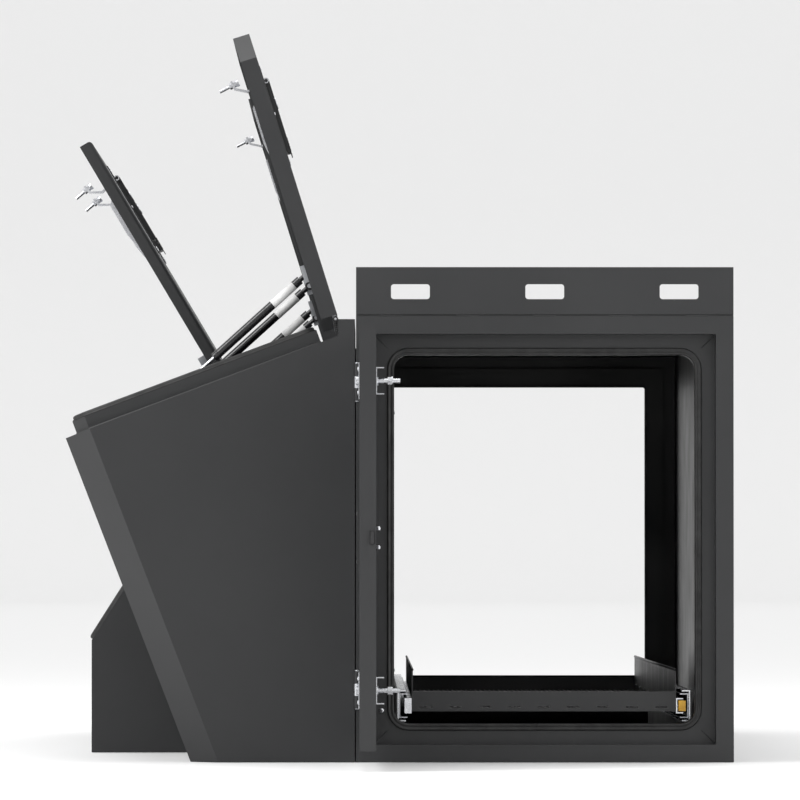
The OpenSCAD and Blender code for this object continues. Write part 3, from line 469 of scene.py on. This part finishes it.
def rail_welds():
    """Stitches under the front of each rail, and a row of them behind its foot."""
    bm = bmesh.new()
    front, top = NEAR_FACE + 1.6 * MM, shell_high.z + 1.7 * MM
    back, low = rail_low.y + RAIL_FOOT, shell_high.z + 1 * MM
    for side in (NEAR, FAR):
        for x in STITCH_X:
            ends = [near_to_side(((x + half) * MM, front, top), side) for half in (-19, 19)]
            weld(bm, *ends, (0, side, 0.3), 1.9 * MM)
        for k in range(8):
            x = 40 + 80 * k
            ends = [near_to_side(((x + half) * MM, back, low), side) for half in (-16, 16)]
            weld(bm, *ends, (0, -side, 1), 3 * MM)
    piece("rail_weld_beads", bm, "powder_black", "box")


def frame_welds():
    """Fillets up the recess corners and mitre beads across the stop flange."""
    bm = bmesh.new()
    for side in (NEAR, FAR):
        for sx, x in ((1, STRIP), (-1, TUNNEL_W - STRIP)):
            for sz, z in ((1, STRIP), (-1, TUNNEL_H - STRIP)):
                a = (x + sx * MM, NEAR_FACE + 2 * MM, z + sz * MM)
                b = (x + sx * MM, NEAR_FACE + RECESS, z + sz * MM)
                weld(bm, near_to_side(a, side), near_to_side(b, side), (sx, 0, sz), 2.2 * MM)
                c = (x + sx * 2 * MM, NEAR_FACE + RECESS - 0.2 * MM, z + sz * 2 * MM)
                d = (x + sx * 24 * MM, NEAR_FACE + RECESS - 0.2 * MM, z + sz * 24 * MM)
                weld(bm, near_to_side(c, side), near_to_side(d, side), (0, side, 0), 0.8 * MM)
    piece("frame_weld_beads", bm, "powder_black", "box")


FRAME_SCREW_X, FRAME_SCREW_Z = 44 * MM, 87 * MM


def frame_screws():
    """Small screw low on the hinge side of each stop flange."""
    bm = bmesh.new()
    for side in (NEAR, FAR):
        base = near_to_side((FRAME_SCREW_X, NEAR_FACE + RECESS, FRAME_SCREW_Z), side)
        screw_head(bm, base, (0, side, 0), 4 * MM, 2.2 * MM)
    piece("frame_screws", bm, "zinc", "box")


# ---------- Lids ----------

SIDE_LATCH_Y, MID_LATCH_Y = -0.8655, 0.24
LATCHES = {"near": ("near", SIDE_LATCH_Y), "far": ("far", SIDE_LATCH_Y), "middle_a": ("middle", -MID_LATCH_Y),
           "middle_b": ("middle", MID_LATCH_Y)}
LATCH_FROM_END = 68 * MM
PIVOT_Z, REST_TURN = 10.5 * MM, math.radians(10)
# Sizes on a latch, in mm: heights above the hinge line, and spans from the pivot.
HANDLE_TOP, PLATE_TOP = 15.5, 7.0
PLATE_SCREWS_X, PLATE_SCREW_Y = (-21, 60, 147), 47
DISH_X, DISH_HALF = (-16, 142), 42
BEZEL_X, BEZEL_HALF = (-26.1, 152.1), 52.1
GRIP_COUNT, GRIP_FIRST, GRIP_PITCH, GRIP_R = 5, 126, 5, (1.4, 0.9)
LOCK_X = 40
BOLT_X, BOLT_NUT_Z = -22, -51.2


def latch_at(lid, y, x, dy, z, turned=False):
    """Place on a latch, in mm from its pivot; turned is for the arm, which rests at an angle."""
    u = -(MID_L if lid == "middle" else SIDE_L) + LATCH_FROM_END
    dx, dz = x * MM, z * MM
    if turned:
        c, s = math.cos(REST_TURN), math.sin(REST_TURN)
        dx, dz = dx * c - (dz - PIVOT_Z) * s, dx * s + (dz - PIVOT_Z) * c + PIVOT_Z
    return LIDS[lid][0].at(u + dx, y + dy * MM, dz)


def latch_trim():
    """Screws of each latch plate; grip ridges and lock cylinder on each handle."""
    for name, (lid, y) in LATCHES.items():
        up = LIDS[lid][0].turn((0, 0, 1))
        screws, grip, lock = bmesh.new(), bmesh.new(), bmesh.new()
        for x in PLATE_SCREWS_X:
            for dy in (-PLATE_SCREW_Y, PLATE_SCREW_Y):
                screw_head(screws, latch_at(lid, y, x, dy, PLATE_TOP), up, 3.0 * MM, 1.8 * MM)
        for k in range(GRIP_COUNT):
            rings = []
            for dy, g in ((-31, 0.3), (-30, 0.8), (-28, 1), (28, 1), (30, 0.8), (31, 0.3)):
                rings.append([latch_at(lid, y, GRIP_FIRST - GRIP_PITCH * k + GRIP_R[0] * g * math.cos(t), dy,
                                       HANDLE_TOP + GRIP_R[1] * g * math.sin(t))
                              for t in [2 * math.pi * i / 8 for i in range(8)]])
            sweep(grip, rings, closed=False, caps=True)
        lathe(lock, latch_at(lid, y, LOCK_X, 0, HANDLE_TOP - 0.2), up,
              in_mm((11.5, 0), (11.5, 1.2), (10.6, 1.9), (9.4, 1.9), (9.0, 1.2), (3.2, 1.2), (2.8, 0.6)), 32)
        piece("latch_screws_" + name, screws, "zinc", "lid_" + lid)
        piece("handle_grip_" + name, grip, "cast_black", "latch_" + name)
        piece("lock_cylinder_" + name, lock, "zinc", "latch_" + name)


def latch_bezels():
    """Black frame over each latch plate's edge, and the turned-down sides of each handle."""
    corners = ((-1, -1), (1, -1), (1, 1), (-1, 1))
    rims = ((DISH_X, DISH_HALF), (BEZEL_X, BEZEL_HALF))
    edge = ((0, 7.05), (0, 7.5), (1, 7.5), (1.1, 7.2), (1.1, 5.6), (1, 5.6))
    wall_in, wall_out, wall_top = 38.6, 39.9, 9.7
    root_x, root_z, end_x, end_z, end_t = 9, 3.0, 130.3, 5.5, 1.3
    for name, (lid, y) in LATCHES.items():
        bm = bmesh.new()
        rings = []
        for sx, sy in corners:
            ends = [Vector((xs[0] if sx < 0 else xs[1], sy * half)) for xs, half in rims]
            rings.append([latch_at(lid, y, *(ends[0].lerp(ends[1], f)), z) for f, z in edge])
        sweep(bm, rings)
        piece("latch_bezel_" + name, bm, "cast_black", "lid_" + lid, smooth=False)

        bm = bmesh.new()
        rings = []
        for x, low, t, sy in ((root_x, root_z, 0, -1), (end_x, end_z, end_t, -1),
                              (end_x, end_z, end_t, 1), (root_x, root_z, 0, 1)):
            rings.append([latch_at(lid, y, x - t, sy * wall_in, wall_top),
                          latch_at(lid, y, x, sy * wall_out, wall_top),
                          latch_at(lid, y, x, sy * wall_out, low),
                          latch_at(lid, y, x - t, sy * wall_in, low)])
        sweep(bm, rings, closed=False, caps=True)
        piece("handle_sides_" + name, bm, "cast_black", "latch_" + name, smooth=False)


def thread(bm, start, axis, length, r, pitch):
    """Rolled thread round a bolt, as rings of crests and roots."""
    profile = [(r * 0.95, 0.0)]
    n = int(length / pitch)
    for i in range(n):
        profile += [(r * 1.03, (i + 0.5) * pitch), (r * 0.95, (i + 1) * pitch)]
    profile.append((r * 0.7, n * pitch + r * 0.3))
    lathe(bm, start, axis, profile, 16)


def latch_threads():
    """Thread of each adjusting bolt beyond its nuts."""
    for name, (lid, y) in LATCHES.items():
        bm = bmesh.new()
        start = latch_at(lid, y, BOLT_X, 0, BOLT_NUT_Z, turned=True)
        axis = (latch_at(lid, y, BOLT_X, 0, BOLT_NUT_Z - 10, turned=True) - start).normalized()
        thread(bm, start, axis, 18 * MM, 3 * MM, 1.0 * MM)
        piece("latch_bolt_thread_" + name, bm, "zinc", "latch_" + name)


def lid_fasteners():
    """Rivets of the piano hinges, on the lids' leaves."""
    for lid, (opened, closed, outline) in LIDS.items():
        ys = [p[1] for p in outline()]
        low, high = min(ys) + 40 * MM, max(ys) - 40 * MM
        count = int((high - low) / (95 * MM)) + 1
        bm = bmesh.new()
        for i in range(count):
            y = low + (high - low) * i / (count - 1)
            screw_head(bm, opened.at(-20 * MM, y, 1.0 * MM), opened.turn((0, 0, -1)), 3.2 * MM, 1.8 * MM)
        piece("lid_leaf_rivets_" + lid, bm, "steel", "lid_" + lid)


# Each lid's struts: where they stand across the truck, and their lower studs in (x, z).
STRUTS = {
    "near": ((-1.150, -0.580), (-347 * MM, 595 * MM)),
    "far": ((1.150, 0.580), (-347 * MM, 595 * MM)),
    "middle": ((-0.440, 0.440), (-344 * MM, 272 * MM)),
}
TUBE_R = 7.5 * MM
LABEL_FROM, MOUTH_FROM, CLIP_FROM = 30 * MM, 203 * MM, 11 * MM


def strut_trim():
    """Blank label, crimped mouth and socket clips on each gas strut."""
    for lid, (ys, foot) in STRUTS.items():
        stud = Vector(JOINTS["struts_" + lid + "_pivot"]["pos_m"])
        along = Vector((foot[0] - stud.x, 0, foot[1] - stud.z)).normalized()
        labels, rings, clips = bmesh.new(), bmesh.new(), bmesh.new()
        for y in ys:
            start = Vector((stud.x, y, stud.z))
            lathe(labels, start + along * LABEL_FROM, along,
                  [(TUBE_R * f, h * MM) for f, h in ((0.99, -0.2), (1.02, 0), (1.02, 49), (0.99, 49.2))], 32)
            lathe(rings, start + along * MOUTH_FROM, along,
                  [(TUBE_R * f, h * MM) for f, h in ((0.98, 0), (1.06, 1), (1.06, 4), (1.0, 5), (1.0, 9),
                                                     (0.94, 11), (0.62, 11.6))], 32)
            lathe(clips, Vector((foot[0], y, foot[1])) - along * CLIP_FROM, along,
                  in_mm((4.3, 0), (5.0, 0.6), (5.0, 2.0), (4.3, 2.6)))
        piece("strut_labels_" + lid, labels, "label", "tubes_" + lid)
        piece("strut_collars_" + lid, rings, "strut_black", "tubes_" + lid)
        piece("strut_clips_" + lid, clips, "steel", "rods_" + lid)


# ---------- Doors ----------

# Sizes on a closed door, in mm: x from its hinge edge, d inwards from its face, and heights.
HINGE_SCREW_X, HINGE_SCREW_Z, HINGE_SCREW_D = (52, 100), 20, -2.3
HINGE_BOLT_X, HINGE_BOLT_R = 92, 4
BOLT_THREADS = ((31.2, 15.6), (55.7, 12.3))
PIN_END_Z = 31.5
PLATE_SCREW_X, PLATE_SCREW_Z, PLATE_SCREW_D = (513, 591), 39, -3.3
SCREW_TIP_X, SCREW_TIP_Z, SCREW_TIP_D = 512, 15.5, 27.1


def door_trim():
    """Hinge screws, bolt threads and pin caps; screws and screw tips of each door's latch."""
    mid_z = TUNNEL_H / 2
    for side, name in ((NEAR, "near"), (FAR, "far")):
        body = "door_" + name
        heads, threads, caps, plate = bmesh.new(), bmesh.new(), bmesh.new(), bmesh.new()
        out = Vector((-1, 0, 0))
        for z in HINGE_Z:
            for x in HINGE_SCREW_X:
                for dz in (-HINGE_SCREW_Z, HINGE_SCREW_Z):
                    base = door_place(x * MM, HINGE_SCREW_D * MM, z + dz * MM, side)
                    screw_head(heads, base, out, 3.4 * MM, 2.2 * MM)
            for depth, length in BOLT_THREADS:
                base = door_place(HINGE_BOLT_X * MM, depth * MM, z, side)
                thread(threads, base, -out, length * MM, HINGE_BOLT_R * MM, 1.25 * MM)
            pin = Vector(JOINTS["door_" + name + "_hinge"]["pos_m"])
            for sz in (-1, 1):
                lathe(caps, Vector((pin.x, pin.y, z + sz * PIN_END_Z * MM)), (0, 0, sz),
                      in_mm((3.6, 0), (3.8, 0.8), (3.0, 2.0), (1.2, 2.6)))
        for x in PLATE_SCREW_X:
            for dz in (-PLATE_SCREW_Z, PLATE_SCREW_Z):
                base = door_place(x * MM, PLATE_SCREW_D * MM, mid_z + dz * MM, side)
                screw_head(plate, base, out, 3 * MM, 1.8 * MM)
        for dz in (-SCREW_TIP_Z, SCREW_TIP_Z):
            base = door_place(SCREW_TIP_X * MM, SCREW_TIP_D * MM, mid_z + dz * MM, side)
            lathe(threads, base, -out, in_mm((3.2, 0), (3.2, 5.8), (2.4, 6.9)))
        piece("door_screws_" + name, heads, "zinc", body)
        piece("door_plate_screws_" + name, plate, "cast_black", body)
        piece("door_bolt_threads_" + name, threads, "zinc", body)
        piece("door_pin_caps_" + name, caps, "steel", "box")


# ---------- Drawer ----------

END_LIP = 34 * MM
TRAY_SCREWS, TRAY_SCREW_Z = 9, 14 * MM


def drawer_trim():
    """Ribbed rubber mat, rolled hems and the screws into the slides."""
    x0, x1 = tray_low.x + 3 * MM, tray_high.x - 3 * MM
    y0, y1 = tray_low.y + 4 * MM, tray_high.y - 4 * MM
    base = tray_low.z + 2.1 * MM
    pitch = 9 * MM
    rib = ((0.2, 2.0), (4.2, 2.0), (4.8, 3.4), (6.8, 3.4), (7.4, 2.0))
    line = [(x0, base)]
    n = int((x1 - x0) / pitch)
    for i in range(n):
        x = x0 + (x1 - x0) * i / n
        line += [(x + dx * MM, base + dz * MM) for dx, dz in rib]
    line.append((x1, base))
    bm = bmesh.new()
    sweep(bm, [[Vector((x, y, z)) for x, z in line] for y in (y0, y1)], closed=False, caps=True)
    piece("drawer_mat", bm, "mat_rubber", "drawer", smooth=False)

    bm = bmesh.new()
    r = 2.1 * MM
    turns = [2 * math.pi * k / 12 for k in range(12)]
    for x in (tray_low.x + 1 * MM, tray_high.x - 1 * MM):
        sweep(bm, [[Vector((x + r * math.cos(t), y, tray_high.z - r + r * math.sin(t))) for t in turns]
                   for y in (tray_low.y, tray_high.y)], closed=False, caps=True)
    lip = tray_low.z + END_LIP
    for y in (tray_low.y + 2.2 * MM, tray_high.y - 2.2 * MM):
        sweep(bm, [[Vector((x, y + r * math.cos(t), lip - r + r * math.sin(t))) for t in turns]
                   for x in (tray_low.x + 2 * MM, tray_high.x - 2 * MM)], closed=False, caps=True)
    piece("drawer_hems", bm, "powder_black", "drawer")

    bm = bmesh.new()
    z = tray_low.z + TRAY_SCREW_Z
    for i in range(TRAY_SCREWS):
        y = tray_low.y + (tray_high.y - tray_low.y) * (i + 0.5) / TRAY_SCREWS
        for x, out in ((tray_low.x + 2 * MM, 1), (tray_high.x - 2 * MM, -1)):
            screw_head(bm, Vector((x, y, z)), (out, 0, 0), 3.4 * MM, 2 * MM)
    piece("drawer_screws", bm, "zinc", "drawer")


door_seal_loops()
lid_seal_loops()
rim_sealer()
rail_welds()
frame_welds()
frame_screws()
latch_trim()
latch_bezels()
latch_threads()
lid_fasteners()
strut_trim()
door_trim()
drawer_trim()


# ---------- Stage, light and camera ----------

def stage_sheet():
    """Round pale floor whose rim curves up into a backdrop, far beyond the camera on every side."""
    bm = bmesh.new()
    flat, rise, height, turns, below = 60.0, 4.0, 12.0, 96, 0.0005
    line = [(flat * f, 0.0) for f in (0.02, 0.1, 0.4)]
    for k in range(13):
        a = math.radians(90 * k / 12)
        line.append((flat + rise * math.sin(a), rise * (1 - math.cos(a))))
    line.append((flat + rise, height))
    rows = [[bm.verts.new((r * math.cos(t), r * math.sin(t), z - below))
             for t in [2 * math.pi * k / turns for k in range(turns)]] for r, z in line]
    bm.faces.new(rows[0])
    for a, b in zip(rows, rows[1:]):
        for k in range(turns):
            j = (k + 1) % turns
            bm.faces.new((a[k], b[k], b[j], a[j]))
    mesh = bpy.data.meshes.new("floor")
    bm.to_mesh(mesh)
    bm.free()
    floor = bpy.data.objects.new("floor", mesh)
    bpy.context.scene.collection.objects.link(floor)
    mat, nodes, links, bsdf = shader("floor", (0.9, 0.9, 0.9), 0.0, 0.9)
    bsdf.inputs["Specular IOR Level"].default_value = 0.1
    mesh.materials.append(mat)
    for poly in mesh.polygons:
        poly.use_smooth = True


def softbox(name, place, target, size, power):
    light = bpy.data.lights.new(name, "AREA")
    light.shape = "RECTANGLE"
    light.size, light.size_y = size
    light.energy = power
    obj = bpy.data.objects.new(name, light)
    obj.location = place
    obj.rotation_euler = (Vector(target) - Vector(place)).to_track_quat("-Z", "Y").to_euler()
    bpy.context.scene.collection.objects.link(obj)


def studio():
    world = bpy.data.worlds.new("studio")
    bpy.context.scene.world = world
    world.use_nodes = True
    background = world.node_tree.nodes["Background"]
    background.inputs["Color"].default_value = (1, 1, 1, 1)
    background.inputs["Strength"].default_value = 1.0
    softbox("key_left", (-4.5, -4.0, 5.0), (0, -0.6, 0.5), (3.0, 3.0), 260)
    softbox("fill_right", (5.0, -5.5, 2.5), (0.2, -0.6, 0.4), (3.0, 3.0), 90)
    softbox("top", (0.0, 0.0, 6.0), (0.0, 0.0, 0.5), (4.0, 4.0), 120)


def camera():
    data = bpy.data.cameras.new("camera")
    data.lens = 344.2
    data.sensor_width = 36.0
    data.clip_end = 200.0
    obj = bpy.data.objects.new("camera", data)
    obj.location = (0.0204, -14.219, 0.3298)
    target = Vector((0.0748, -1.219, 0.6154))
    obj.rotation_euler = (target - obj.location).to_track_quat("-Z", "Y").to_euler()
    bpy.context.scene.collection.objects.link(obj)
    bpy.context.scene.camera = obj


camera()
stage_sheet()
studio()
bpy.context.scene.view_settings.view_transform = "Standard"
